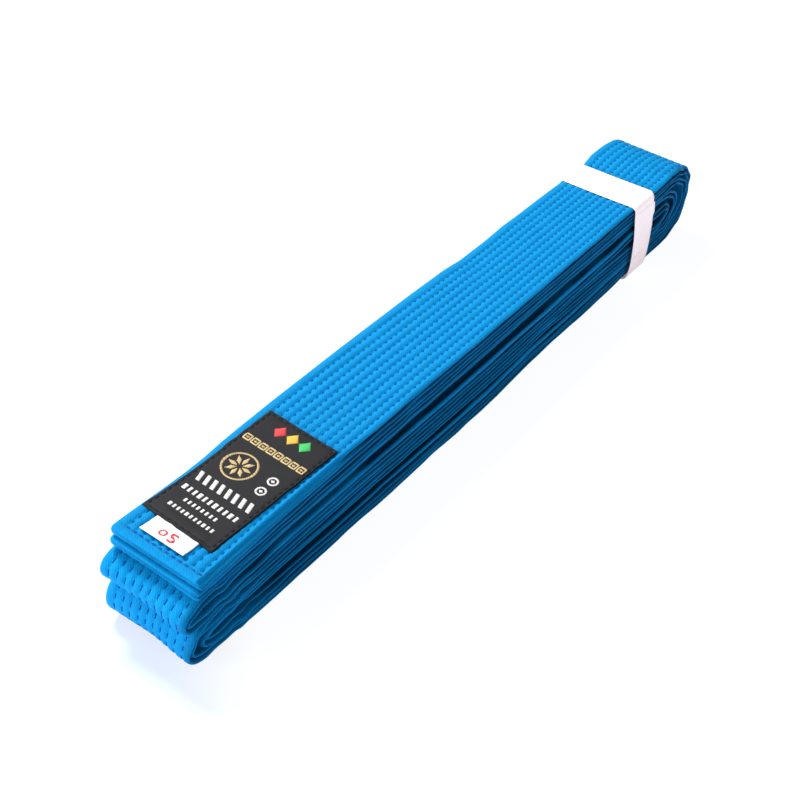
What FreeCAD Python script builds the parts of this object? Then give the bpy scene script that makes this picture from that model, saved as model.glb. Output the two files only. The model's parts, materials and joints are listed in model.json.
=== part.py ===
import FreeCAD
import Part
import math
import os

# A 40 mm wide martial arts belt, folded in half three times into a bundle of eight layers and held by
# a paper band near its folded end. Millimetres, +Z up. The origin is the centre of the bundle's
# underside, +X runs from the label end to the nested folds, and -Y is the side where the cover's
# turned-in edges meet.

# Belt
belt_width = 40.0
layer_thickness = 4.3
touching_gap = 0.1            # between layers that lie on each other
thread_height = 0.2           # how far the sewing threads stand out of the cloth, part of the thickness
cover_cloth = 0.5
hem_depth = 1.5               # the cover's two edges, turned in along the -Y side
hem_slit = 0.3
ply_count = 4
ply_gap = 0.06
row_count = 10
row_pitch = 3.7
first_row_y = 17.4
thread_width = 0.6

# Folded bundle
bundle_length = 364.0
upper_gap = 2.2               # between layers 3 and 4 at the label end
lower_gap = 2.8               # between layers 6 and 7 at the label end
label_end_setback = 5.5       # from the foremost fold to the label end
second_end_setback = 4.5
shift_start = 113.0           # layers 4 to 6 drift between these two places, so that the open
shift_end = 146.0             # gaps close towards the nested folds and one opens inside them
shift_bend_radius = 60.0
lift_line_x = 23.5            # the top layer bends here when its free end is lifted
lift_split = 0.3

# End seams
end_seam_inset = 3.3
row_inset = 4.6
turned_in_end = 1.5

# Label and size tag
label_length = 66.5
label_width = 32.7
label_thickness = 0.5
label_near_edge_inset = 13.6
label_offset_y = 1.4
label_turn = -2.2             # degrees, sewn on slightly out of square
label_stitch_inset = 1.2
tag_length = 7.4
tag_width = 19.5
tag_thickness = 0.3
tag_offset_y = 1.8
tag_root_gap = 0.8
resting_clearance = 0.25

# Paper band
band_start_x = 121.0
band_width = 19.0
band_paper = 0.3
band_clearance = 0.25
band_inner_radius = 0.5
band_lap_height = 24.0
band_lap_overhang = 1.6
band_lap_turn = 2.0           # degrees

# Worked out from the sizes above
half_length = bundle_length / 2
half_thickness = layer_thickness / 2
pitch = layer_thickness + touching_gap
underside_z = band_paper + band_clearance
near_z = {8: underside_z + half_thickness}
near_z[7] = near_z[8] + pitch
near_z[6] = near_z[7] + layer_thickness + lower_gap
near_z[5] = near_z[6] + pitch
near_z[4] = near_z[5] + pitch
near_z[3] = near_z[4] + layer_thickness + upper_gap
near_z[2] = near_z[3] + pitch
near_z[1] = near_z[2] + pitch
far_z = dict(near_z)
far_z[4] = near_z[3] - pitch
far_z[6] = near_z[7] + pitch
far_z[5] = far_z[6] + pitch
top_z = near_z[1] + half_thickness
label_end_x = label_end_setback - half_length
second_end_x = second_end_setback - half_length
near_nose_x = {(5, 8): 0.5 - half_length, (3, 4): -half_length, (6, 7): 7.8 - half_length}
far_nose_x = {(1, 8): half_length, (2, 7): half_length - pitch, (3, 6): 168.5, (4, 5): 158.5}
cloth_face = half_thickness - thread_height
core_face = cloth_face - cover_cloth
core_y_low = -belt_width / 2 + hem_depth
core_y_high = belt_width / 2 - cover_cloth
row_ys = [first_row_y - row_pitch * row for row in range(row_count)]

tiny = 1e-6


def point(x, z):
    return FreeCAD.Vector(x, 0, z)


def left_of(direction):
    return FreeCAD.Vector(-direction.z, 0, direction.x)


def fold(route, first, second, noses, heights):
    """Adds the two corners of a fold that takes the belt from one layer to another."""
    radius = abs(heights[first] - heights[second]) / 2
    nose = noses[tuple(sorted((first, second)))]
    x = nose - math.copysign(half_thickness, nose)
    route.append((point(x, heights[first]), radius))
    route.append((point(x, heights[second]), radius))


def drift(route, layer, towards_folds):
    """Adds the shallow S by which a layer changes height on its way to or from the nested folds."""
    if abs(near_z[layer] - far_z[layer]) < tiny:
        return
    bends = [
        (point(shift_start, near_z[layer]), shift_bend_radius),
        (point(shift_end, far_z[layer]), shift_bend_radius),
    ]
    route.extend(bends if towards_folds else reversed(bends))


def belt_route(start_x, end_x):
    """Corners of the belt's middle line, from start_x in the top layer to end_x in the second one."""
    route = [(point(start_x, near_z[1]), 0)]
    layers = [1, 8, 5, 4, 3, 6, 7, 2]
    for step, (layer, following) in enumerate(zip(layers, layers[1:])):
        towards_folds = step % 2 == 0
        drift(route, layer, towards_folds)
        if towards_folds:
            fold(route, layer, following, far_nose_x, far_z)
        else:
            fold(route, layer, following, near_nose_x, near_z)
    drift(route, layers[-1], False)
    route.append((point(end_x, near_z[2]), 0))
    return route


def stations(route):
    """Straight runs and the tangent arcs between them. A run is two stations and an arc is three,
    and a station is a point of the middle line with the direction to its left."""
    pieces = []
    here = route[0][0]
    for before, (corner, radius), after in zip(route, route[1:], route[2:]):
        into = (corner - before[0]).normalize()
        onward = (after[0] - corner).normalize()
        turn = math.atan2(left_of(into).dot(onward), into.dot(onward))
        reach = radius * math.tan(abs(turn) / 2)
        arc_start = corner - into * reach
        arc_end = corner + onward * reach
        side = math.copysign(1, turn)
        centre = arc_start + left_of(into) * (side * radius)
        middle_left = (left_of(into) + left_of(onward)).normalize()
        middle = centre - middle_left * (side * radius)
        if (arc_start - here).Length > tiny:
            pieces.append([(here, left_of(into)), (arc_start, left_of(into))])
        pieces.append([(arc_start, left_of(into)), (middle, middle_left), (arc_end, left_of(onward))])
        here = arc_end
    last = route[-1][0]
    direction = (last - here).normalize()
    pieces.append([(here, left_of(direction)), (last, left_of(direction))])
    return pieces


def offset_edges(pieces, offset):
    """Edges of the line that runs beside the middle line, offset to its left."""
    edges = []
    for piece in pieces:
        points = [place + left * offset for place, left in piece]
        if len(points) == 2:
            edges.append(Part.LineSegment(*points).toShape())
        else:
            edges.append(Part.Arc(*points).toShape())
    return edges


def ribbon(route, low, high, y_low, y_high):
    """Solid strip that follows the route, between two offsets from its middle line."""
    pieces = stations(route)
    lower = offset_edges(pieces, low)
    upper = offset_edges(pieces, high)
    first_cap = Part.LineSegment(
        lower[0].firstVertex().Point, upper[0].firstVertex().Point
    ).toShape()
    last_cap = Part.LineSegment(
        lower[-1].lastVertex().Point, upper[-1].lastVertex().Point
    ).toShape()
    wire = Part.Wire(Part.__sortEdges__(lower + [last_cap] + upper[::-1] + [first_cap]))
    face = Part.Face(wire)
    face.translate(FreeCAD.Vector(0, y_low, 0))
    return solid_of(face.extrude(FreeCAD.Vector(0, y_high - y_low, 0)))


def solid_of(shape):
    """The shape's one solid, facing outwards."""
    solid = shape.Solids[0].copy() if shape.Solids else Part.Solid(shape)
    if solid.Volume < 0:
        solid.reverse()
    return solid


def block(x_low, x_high, y_low, y_high, z_low, z_high):
    corner = FreeCAD.Vector(x_low, y_low, z_low)
    return Part.makeBox(x_high - x_low, y_high - y_low, z_high - z_low, corner)


def straight_ribbon(start_x, low, high, y_low, y_high):
    return block(start_x, lift_line_x, y_low, y_high, near_z[1] + low, near_z[1] + high)


def hollow_cover(outside, cavity, slit):
    return solid_of(outside.cut(cavity).cut(slit))


def folded_route(inset):
    """The whole folded length, from the lift line to the second end, shortened by inset there."""
    return belt_route(lift_line_x + lift_split, second_end_x + inset)


def cover_folded_length():
    outside = ribbon(folded_route(0), -cloth_face, cloth_face, -belt_width / 2, belt_width / 2)
    cavity = ribbon(folded_route(turned_in_end), -core_face, core_face, core_y_low, core_y_high)
    slit = ribbon(
        folded_route(turned_in_end), -hem_slit / 2, hem_slit / 2, -belt_width / 2, core_y_low
    )
    return hollow_cover(outside, cavity, slit)


def cover_free_end():
    start = label_end_x + turned_in_end
    outside = straight_ribbon(
        label_end_x, -cloth_face, cloth_face, -belt_width / 2, belt_width / 2
    )
    cavity = straight_ribbon(start, -core_face, core_face, core_y_low, core_y_high)
    slit = straight_ribbon(start, -hem_slit / 2, hem_slit / 2, -belt_width / 2, core_y_low)
    return hollow_cover(outside, cavity, slit)


def ply_offsets(number):
    """Lower and upper face of one core ply, counted from the belt's underside."""
    thickness = (2 * core_face - (ply_count + 1) * ply_gap) / ply_count
    low = -core_face + ply_gap + number * (thickness + ply_gap)
    return low, low + thickness


def core_ply_folded(number):
    low, high = ply_offsets(number)
    route = folded_route(turned_in_end + ply_gap)
    return ribbon(route, low, high, core_y_low + ply_gap, core_y_high - ply_gap)


def core_ply_free_end(number):
    low, high = ply_offsets(number)
    start = label_end_x + turned_in_end + ply_gap
    return straight_ribbon(start, low, high, core_y_low + ply_gap, core_y_high - ply_gap)


def both_faces(make_strip):
    """Needle thread on one face of the belt and bobbin thread on the other."""
    return [make_strip(cloth_face, half_thickness), make_strip(-half_thickness, -cloth_face)]


def stitch_row_folded(y):
    return Part.makeCompound(both_faces(lambda low, high: ribbon(
        folded_route(row_inset), low, high, y - thread_width / 2, y + thread_width / 2
    )))


def stitch_rows_free_end():
    threads = []
    for y in row_ys:
        threads += both_faces(lambda low, high: straight_ribbon(
            label_end_x + row_inset, low, high, y - thread_width / 2, y + thread_width / 2
        ))
    return Part.makeCompound(threads)


def end_seam(end_x, layer):
    """Two threads of the cross seam that closes an end of the belt."""
    x = end_x + end_seam_inset
    half_seam = belt_width / 2 - 2.0
    return Part.makeCompound(both_faces(lambda low, high: block(
        x, x + thread_width, -half_seam, half_seam, near_z[layer] + low, near_z[layer] + high
    )))


def turned(shape, x, y, degrees):
    shape.rotate(FreeCAD.Vector(x, y, 0), FreeCAD.Vector(0, 0, 1), degrees)
    return shape


def label_block(inset, z_low, z_high):
    """Upright block with the label's outline, drawn in by inset."""
    x = label_end_x + label_near_edge_inset + label_length / 2
    half_x = label_length / 2 - inset
    half_y = label_width / 2 - inset
    outline = block(
        x - half_x, x + half_x, label_offset_y - half_y, label_offset_y + half_y, z_low, z_high
    )
    return turned(outline, x, label_offset_y, label_turn)


def woven_label():
    return label_block(0, top_z, top_z + label_thickness)


def label_stitching():
    low = top_z + label_thickness
    high = low + thread_height
    outer = label_block(label_stitch_inset, low, high)
    inner = label_block(label_stitch_inset + thread_width, low, high)
    return outer.cut(inner)


def size_tag():
    root_x = label_end_x + label_near_edge_inset - tag_root_gap
    low = top_z + resting_clearance
    half_y = tag_width / 2
    return block(
        root_x - tag_length, root_x, tag_offset_y - half_y, tag_offset_y + half_y,
        low, low + tag_thickness,
    )


def rounded_tube(x, length, half_y, z_low, z_high, radius):
    """Block along X whose four long edges are rounded."""
    shape = block(x, x + length, -half_y, half_y, z_low, z_high)
    long_edges = [e for e in shape.Edges if abs(e.Length - length) < tiny]
    return shape.makeFillet(radius, long_edges)


def paper_band():
    inner_half_y = belt_width / 2 + band_clearance
    outer = rounded_tube(
        band_start_x, band_width, inner_half_y + band_paper,
        0, top_z + band_clearance + band_paper, band_inner_radius + band_paper,
    )
    inner = rounded_tube(
        band_start_x, band_width, inner_half_y,
        band_paper, top_z + band_clearance, band_inner_radius,
    )
    return solid_of(outer.cut(inner))


def band_lap():
    """The strip's glued outer end, lapped over its start on the -Y side and a little askew."""
    face_y = -(belt_width / 2 + band_clearance + band_paper)
    middle_x = band_start_x + band_width / 2 + band_lap_overhang / 2
    middle_z = top_z - 4.0 - band_lap_height / 2
    lap = block(
        middle_x - band_width / 2, middle_x + band_width / 2,
        face_y - band_paper, face_y,
        middle_z - band_lap_height / 2, middle_z + band_lap_height / 2,
    )
    lap.rotate(FreeCAD.Vector(middle_x, 0, middle_z), FreeCAD.Vector(0, 1, 0), band_lap_turn)
    return lap


def make_parts():
    parts = {
        "cover_folded_length": cover_folded_length(),
        "cover_free_end": cover_free_end(),
        "end_seam_label_end": end_seam(label_end_x, 1),
        "end_seam_second_end": end_seam(second_end_x, 2),
        "stitch_rows_free_end": stitch_rows_free_end(),
        "woven_label": woven_label(),
        "label_stitching": label_stitching(),
        "size_tag": size_tag(),
        "paper_band": paper_band(),
        "band_lap": band_lap(),
    }
    for number in range(ply_count):
        parts[f"core_ply_{number + 1}_folded"] = core_ply_folded(number)
        parts[f"core_ply_{number + 1}_free_end"] = core_ply_free_end(number)
    for number, y in enumerate(row_ys):
        parts[f"stitch_row_{number + 1:02d}"] = stitch_row_folded(y)
    return parts


os.makedirs("parts", exist_ok=True)
made = make_parts()
for name, shape in made.items():
    if not shape.isValid():
        raise RuntimeError(f"{name} isn't a valid shape")
    shape.exportStep(f"parts/{name}.step")
whole = Part.makeCompound(list(made.values())).BoundBox
print(f"{len(made)} parts, {whole.XLength:.2f} x {whole.YLength:.2f} x {whole.ZLength:.2f} mm")
middle_line = offset_edges(stations(belt_route(label_end_x, second_end_x)), 0)
print(f"belt length {sum(edge.Length for edge in middle_line):.0f} mm")
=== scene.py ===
import json
import math

import bpy
import numpy as np
from mathutils import Matrix, Vector

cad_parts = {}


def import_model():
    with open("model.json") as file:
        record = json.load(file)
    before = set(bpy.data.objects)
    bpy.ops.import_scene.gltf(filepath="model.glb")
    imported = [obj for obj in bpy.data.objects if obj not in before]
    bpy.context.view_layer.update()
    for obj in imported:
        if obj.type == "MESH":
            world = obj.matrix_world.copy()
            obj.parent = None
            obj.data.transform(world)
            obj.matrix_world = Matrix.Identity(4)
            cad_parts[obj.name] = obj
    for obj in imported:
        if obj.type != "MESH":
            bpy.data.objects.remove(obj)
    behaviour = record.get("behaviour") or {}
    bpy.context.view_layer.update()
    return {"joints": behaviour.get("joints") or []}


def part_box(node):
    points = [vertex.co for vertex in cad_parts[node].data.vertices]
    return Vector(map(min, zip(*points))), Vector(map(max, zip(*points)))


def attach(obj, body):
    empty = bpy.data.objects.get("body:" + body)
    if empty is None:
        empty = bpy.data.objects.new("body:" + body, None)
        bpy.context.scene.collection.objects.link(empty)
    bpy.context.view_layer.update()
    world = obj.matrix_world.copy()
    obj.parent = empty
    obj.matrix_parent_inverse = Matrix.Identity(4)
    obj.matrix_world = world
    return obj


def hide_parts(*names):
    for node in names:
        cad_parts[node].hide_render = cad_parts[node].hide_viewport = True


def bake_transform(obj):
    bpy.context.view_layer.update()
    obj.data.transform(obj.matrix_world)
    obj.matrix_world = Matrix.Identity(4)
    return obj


# A martial arts belt, folded into eight layers and held by a paper band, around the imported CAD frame.
# Lengths are millimetres up to make_piece(), which turns them into metres. The belt is one strip: its
# meshes are its cross-section carried along one smooth line, which runs from the label end through all
# eight layers to the second end. A place on the belt is s, the distance along that line, y across it,
# and h, the height to the left of the line, which is outwards on the top layer.

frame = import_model()
MM = 0.001


def box_mm(node):
    low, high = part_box(node)
    return low / MM, high / MM


# Sizes and places from the frame
threads_low, threads_high = box_mm("stitch_rows_free_end")
cover_low, cover_high = box_mm("cover_folded_length")
free_low = box_mm("cover_free_end")[0]
seam_low, seam_high = box_mm("end_seam_label_end")
label_low, label_high = box_mm("woven_label")
tag_low, tag_high = box_mm("size_tag")
band_low, band_high = box_mm("paper_band")
lap_low, lap_high = box_mm("band_lap")
HALF = (threads_high.z - threads_low.z) / 2
TOP = threads_high.z
NEAR = cover_low.x
FAR = cover_high.x
LABEL_END = free_low.x
SEAM_INSET = (seam_low.x + seam_high.x) / 2 - free_low.x
SECOND_END = box_mm("end_seam_second_end")[0].x - (seam_low.x - free_low.x)
BAND_MIDDLE = (band_low.x + band_high.x) / 2
CAD_ROWS = [sum(corner.y for corner in box_mm(f"stitch_row_{n:02d}")) / 2 for n in range(1, 11)]
JOINTS = {joint["name"]: joint for joint in frame["joints"]}
LIFT_X = JOINTS["free_end_lift"]["pos_m"][0] / MM

# The belt's line: the height of each layer's middle, and each fold as the control points of a cubic
# B-spline, in mm inwards from the bundle's far or near end and mm of height.
LAYER_ORDER = [1, 8, 5, 4, 3, 6, 7, 2]
LAYERS = {1: 38.3, 2: 33.9, 3: 29.5, 4: 23.0, 5: 18.6, 6: 14.2, 7: 7.1, 8: 2.7}
FAR_LAYERS = {**LAYERS, 4: 24.9, 5: 15.9, 6: 11.5}
DRIFT = (255.0, 322.0)         # mm from the near end between which layers 4 to 6 change height
FAR_FOLDS = {
    (1, 8): [(27, 38.2), (15, 38.1), (5.7, 35.6), (0.9, 29), (-0.4, 22.3), (0.6, 14.2), (6.6, 7.0),
             (15.5, 3.5), (28, 2.7)],
    (7, 2): [(30.5, 7.1), (18.5, 7.6), (10.6, 10.6), (5.6, 15.4), (4.2, 21.5), (5.4, 27), (9.7, 31.4),
             (16, 33.7), (26, 33.9)],
    (3, 6): [(34, 29.4), (24, 29.2), (16.2, 27.3), (11.5, 22.2), (13, 16.2), (18.5, 12.7), (27, 11.6),
             (38, 11.5)],
    (5, 4): [(43, 15.9), (33, 16), (24.5, 17.2), (20.6, 20.6), (24.5, 24.2), (33, 24.9), (41, 24.9)],
}
NEAR_FOLDS = {
    (4, 3): [(35.5, 23.0), (19.5, 22.9), (9.5, 22.2), (3.0, 21.2), (-0.8, 23.0), (0.0, 27.1),
             (6.0, 29.2), (15.5, 29.0), (27.5, 29.1), (45.5, 29.3)],
    (8, 5): [(45.5, 2.7), (21.5, 2.7), (10.2, 2.7), (2.8, 3.6), (-0.4, 7.5), (0.8, 13), (5.0, 16.9),
             (13.5, 18.2), (25.5, 18.5), (45.5, 18.6)],
    (6, 7): [(45.5, 14.2), (27.5, 14.1), (17.5, 13.7), (8.4, 12.9), (5.6, 10.4), (8.0, 7.9),
             (13.5, 7.2), (18.5, 8.1), (22.5, 7.4), (29.5, 7.1), (45.5, 7.1)],
}

# The cross-section
EDGE_Y = 20.0
ROW_YS = list(np.linspace(16.0, -16.2, len(CAD_ROWS)))
STITCH = 3.4                   # from one stitch to the next
STITCH_SHOWN = 0.64            # the share of it that shows on one face
STITCH_SLANT = 0.08            # mm by which each end of it lies off the row
THREAD_RADIUS = 0.27
THREAD_STANDS = 0.55           # the share of it by which a thread's middle stands over the cloth
THREAD_SINK = 0.42             # mm by which its ends go into the cloth
ROW_DIP = 0.46                 # how deep a row pulls the cloth in, under its thread
ROW_DIP_WIDTH = 0.50
VALLEY = 0.29                  # the wide hollow between the pillows on either side of a row
VALLEY_WIDTH = 0.90
PUCKER = 0.045                 # small folds that run from stitch to stitch across the pillows
FACE = 2.06                    # height of the cloth between two rows
SHOULDER = [                   # from the groove to the face: y, height, y where the groove is shut
    (-16.9, 0.0, -20.05), (-18.0, 0.20, -20.0), (-19.0, 0.45, -19.9), (-19.7, 0.74, -19.7),
    (-19.98, 1.08, -19.45), (-19.82, 1.42, -19.15), (-19.3, 1.74, -18.75), (-18.5, 1.95, -18.25),
    (-17.65, FACE, -17.65),
]
SHOULDER_GIVE = [1.0, 1.0, 1.0, 1.0, 1.0, 0.85, 0.5, 0.2, 0.0]
ROUND_EDGE = [(17.6, FACE), (18.7, 2.02), (19.5, 1.86), (19.95, 1.45), (20.15, 0.8), (20.2, 0.0)]
ROW_STEPS = (-1.15, -0.65, -0.24, 0.24, 0.65, 1.15)
END_ROUND = 1.5                # over how many mm a sewn end rounds off
FOLD_ROOM = 0.93               # how near to the turning point of a tight fold the cloth may come

# How the two rims of the open edge lie, by layer, in the direction of the belt's line:
# mm from the near end, how far the upper and the lower rim stand back, how open their groove is.
RIMS = {
    1: [(0, 1.1, -0.7, 0.0), (80, 1.1, -0.7, 0.0), (104, 0.2, 0.0, 0.7), (330, 0.1, 0.1, 1.0)],
    8: [(320, 0.1, 0.3, 1.0), (30, 0.1, 0.3, 0.9)],
    5: [(30, 0.1, 0.1, 0.8), (320, 0.1, 0.2, 1.0)],
    4: [(320, 0.2, 0.1, 1.0), (30, 0.0, 0.1, 0.8)],
    3: [(20, 0.0, 0.6, 0.7), (60, 0.2, 1.5, 0.9), (180, 0.5, 1.6, 1.0), (240, 1.3, 1.8, 1.0),
        (320, 1.0, 1.4, 1.0)],
    6: [(320, 0.2, 0.3, 1.0), (180, 0.2, 0.3, 1.0), (60, 0.2, 0.8, 1.0), (30, 0.1, 0.6, 0.9)],
    7: [(30, 0.9, 0.2, 0.9), (90, 0.9, 0.2, 1.0), (180, 0.2, 0.2, 1.0), (320, 0.2, 0.2, 1.0)],
    2: [(330, 0.1, 0.1, 1.0), (60, 0.05, 0.05, 0.9), (10, 0.0, 0.0, 0.6)],
}

# How far painted shade darkens the cloth's colour on the open edge, by height: the groove holds no light.
EDGE_SHADE = [(0.0, 1.0), (0.45, 0.95), (0.8, 0.6), (1.08, 0.15), (1.35, 0.35), (1.7, 0.8), (FACE, 0.5)]


def smooth_step(x):
    x = np.clip(x, 0, 1)
    return x * x * (3 - 2 * x)


def wander(s, step, size, seed):
    """Smooth random wandering up to that size either way, with a turn about every step mm."""
    knots = np.random.RandomState(seed).uniform(-size, size, 4096)
    place = np.asarray(s, float) / step + 2000
    whole = np.floor(place).astype(int)
    mix = smooth_step(place - whole)
    return knots[whole % 4096] * (1 - mix) + knots[(whole + 1) % 4096] * mix


def layer_height(layer, x):
    """Height of a layer's middle at x."""
    from_near = x - NEAR
    mix = smooth_step((from_near - DRIFT[0]) / (DRIFT[1] - DRIFT[0]))
    return LAYERS[layer] * (1 - mix) + FAR_LAYERS[layer] * mix


# How far each layer reaches beyond the top layer at the open edge, by mm from the near end.
REACH = {
    1: [(0, 0.0), (330, 0.0)],
    2: [(5, 0.0), (72, 0.3), (182, 0.0), (282, -0.2), (330, 0.0)],
    3: [(30, 0.2), (72, 0.5), (182, 0.1), (282, -0.5), (330, -0.3)],
    4: [(20, 0.3), (72, 0.8), (182, 1.4), (217, 1.25), (236, 1.2), (282, 1.1), (302, 0.8), (325, 0.4)],
    5: [(30, 0.5), (72, 0.9), (182, 1.4), (217, 1.15), (236, 1.1), (282, 1.0), (302, 0.6), (320, 0.3)],
    6: [(20, 0.6), (72, 1.3), (182, 1.5), (217, 1.05), (236, 1.0), (282, 0.8), (302, 0.3), (330, 0.1)],
    7: [(30, 1.0), (72, 1.6), (160, 1.9), (182, 1.7), (217, 0.7), (236, 0.6), (282, 0.3), (302, -0.3),
        (335, -0.3)],
    8: [(22, 0.6), (32, 1.5), (42, 1.9), (54, 1.7), (72, 1.7), (92, 1.2), (112, 1.9), (142, 1.7), (160, 1.9),
        (182, 1.4), (217, 0.1), (236, 0.0), (262, 0.0), (282, -0.3), (302, -0.6), (340, -0.4)],
}

# How far the upper shoulder of the layer under each loose gap swells into it, by mm from the near end.
SWOLLEN = {
    4: [(320, 0.8), (182, 0.9), (120, 0.5), (80, 0.1), (30, 0.0)],
    7: [(30, 0.0), (72, 0.1), (120, 0.5), (182, 0.8), (320, 0.8)],
}

# How the folded belt lies: its open side sinks towards the label end, where the layers spread.
SINK = (1.7, 240.0)            # mm down at the open edge of the top, and over what length
SPREAD = (1.3, 60.0)           # mm outwards at the open edge, and over what length
LEAN = (2.2, 26.0)             # mm by which the folds below the top reach further at the open edge
CORNER_LIFT = (1.5, 28, 20)    # mm up at the lowest fold's open corner, and over what length and height
UNDER_TOP = (33.5, 3.0)        # height under which the folds lean out, and over what height it starts
BEYOND = (323, 20)             # mm from the near end to where the far end rises as a whole, over what length
FAR_LEAN = (1.4, 30.0)         # mm by which the far end reaches further at the closed edge
CLOSED_EDGE = [                # mm from the near end, mm outwards, mm up
    (0, 1.0, 0.6), (12, 0.9, 0.6), (22, 0.6, 0.4), (32, 0.25, 0.3), (42, 0.0, 0.25), (52, 0.1, 0.3),
    (62, 0.6, 0.7), (72, 0.8, 0.9), (92, 1.0, 1.2), (132, 1.1, 1.35), (182, 1.1, 1.3), (205, 0.85, 1.0),
    (217, 0.3, 0.22), (236, 0.3, 0.22), (252, 0.6, 0.7), (262, 0.5, 0.5), (282, 0.4, 0.5), (300, 0.2, 0.35),
    (323, 0.1, 0.35), (333, 1.2, 1.5), (342, 1.0, 2.0), (352, 0.5, 2.25), (372, 0.0, 2.2),
]


def openness(y):
    """0 at the belt's rounded edge, and 1 at its open edge."""
    return np.clip(0.5 - y / (2 * EDGE_Y), 0, 1)


def settled(points):
    """The points moved to how the folded belt lies."""
    x, y, z = np.moveaxis(np.asarray(points, float), -1, 0)
    from_near = x - NEAR
    open_side, closed_side = openness(y), openness(-y)
    places, outs, ups = zip(*CLOSED_EDGE)
    out, up = np.interp(from_near, places, outs), np.interp(from_near, places, ups)
    beyond = smooth_step((from_near - BEYOND[0]) / BEYOND[1])
    rise = up * (closed_side**2 * (1 - beyond) + (0.4 + 0.6 * closed_side) * beyond)
    sink = SINK[0] * (1 - smooth_step(from_near / SINK[1])) * open_side
    spread = SPREAD[0] * (1 - smooth_step(from_near / SPREAD[1])) * open_side**4
    below = smooth_step((UNDER_TOP[0] - z) / UNDER_TOP[1]) * (1 - smooth_step(from_near / LEAN[1]))
    lean = LEAN[0] * below * smooth_step((2 - y) / 22)
    far_lean = FAR_LEAN[0] * closed_side * smooth_step((x - FAR + FAR_LEAN[1]) / FAR_LEAN[1])
    corner = CORNER_LIFT[0] * (1 - smooth_step(from_near / CORNER_LIFT[1]))
    corner = corner * open_side**2 * np.clip(1 - z / CORNER_LIFT[2], 0, 1)
    high = np.clip(z / TOP, 0, 1)
    return np.stack([x - lean + far_lean, y + out * closed_side**4 - spread,
                     z + high * (rise - sink) + corner], -1)


def b_spline(points, per_span):
    """Uniform cubic B-spline that starts and ends at the first and the last point."""
    p = np.vstack([2 * points[0] - points[1], points, 2 * points[-1] - points[-2]])
    t = np.linspace(0, 1, per_span, endpoint=False)[:, None]
    weights = [(1 - t) ** 3, 3 * t**3 - 6 * t**2 + 4, -3 * t**3 + 3 * t**2 + 3 * t + 1, t**3]
    spans = [sum(w * p[i + k] for k, w in enumerate(weights)) / 6 for i in range(len(p) - 3)]
    return np.vstack(spans + [points[-1:]])


class Line:
    """The belt's middle line in the XZ plane, as closely spaced places by s."""

    RUN_POINTS = 14
    PER_SPAN = 40

    def __init__(self):
        folds = self.folds()
        starts = [LABEL_END] + [fold[-1][0] for fold in folds]
        ends = [fold[0][0] for fold in folds] + [SECOND_END]
        points, marks = [], []
        for layer, start, end, fold in zip(LAYER_ORDER, starts, ends, folds + [[]]):
            xs = np.linspace(start, end, self.RUN_POINTS)
            first = 0 if layer == LAYER_ORDER[0] else 1
            last = None if layer == LAYER_ORDER[-1] else -1
            marks.append(max(len(points) - 1, 0))
            points += [(x, layer_height(layer, x)) for x in xs[first:last]]
            marks.append(len(points) if fold else len(points) - 1)
            points += fold
        self.xz = b_spline(np.array(points, float), self.PER_SPAN)
        step = np.linalg.norm(np.diff(self.xz, axis=0), axis=1)
        self.s = np.concatenate([[0], np.cumsum(step)])
        self.length = self.s[-1]
        along = np.gradient(self.xz, self.s, axis=0)
        along /= np.linalg.norm(along, axis=1)[:, None]
        self.left = np.stack([-along[:, 1], along[:, 0]], 1)
        heading = np.unwrap(np.arctan2(along[:, 1], along[:, 0]))
        self.turn = np.convolve(np.gradient(heading, self.s), np.ones(25) / 25, "same")
        marks = [self.s[mark * self.PER_SPAN] for mark in marks]
        self.runs = dict(zip(LAYER_ORDER, zip(marks[::2], marks[1::2])))
        self.reach = self.knots(REACH)

    @staticmethod
    def folds():
        made = []
        for step, pair in enumerate(zip(LAYER_ORDER, LAYER_ORDER[1:])):
            if step % 2 == 0:
                made.append([(FAR - inset, height) for inset, height in FAR_FOLDS[pair]])
            else:
                made.append([(NEAR + inset, height) for inset, height in NEAR_FOLDS[pair]])
        return made

    def at(self, s):
        """x, z and the direction to the left (x, z) at each s."""
        x, z = (np.interp(s, self.s, self.xz[:, k]) for k in (0, 1))
        left = np.stack([np.interp(s, self.s, self.left[:, k]) for k in (0, 1)], -1)
        left /= np.linalg.norm(left, axis=-1)[..., None]
        return x, z, left

    def s_at(self, layer, x):
        """s where a layer passes x, on its straight run or in its half of a fold."""
        first, last = self.runs[layer]
        place = LAYER_ORDER.index(layer)
        before = self.runs[LAYER_ORDER[place - 1]][1] if place else first
        after = self.runs[LAYER_ORDER[place + 1]][0] if place + 1 < len(LAYER_ORDER) else last
        inside = (self.s >= (before + first) / 2) & (self.s <= (last + after) / 2)
        xs, places = self.xz[inside, 0], self.s[inside]
        ahead = 1 if xs[-1] > xs[0] else -1
        return float(np.interp(ahead * x, np.maximum.accumulate(ahead * xs), places))

    def knots(self, table):
        """A table by layer, whose rows start with mm from the near end, as rows by s."""
        return np.array(sorted((self.s_at(layer, NEAR + from_near), *values)
                               for layer, rows in table.items() for from_near, *values in rows))

    def place(self, s, y, h):
        """Points of the belt's places, in mm. In the folds the open edge is crumpled."""
        x, z, left = self.at(s)
        h = h + fold_share(s) * wander(s, 4.4, 0.7, 77) * openness(y) ** 3
        y = y - np.interp(s, *self.reach.T) * openness(y)
        return settled(np.stack([x + left[..., 0] * h, y + 0 * x, z + left[..., 1] * h], -1))


line = Line()
CUT = line.s_at(1, BAND_MIDDLE)


# ---------------------------------------------------------------- meshes and materials

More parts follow.
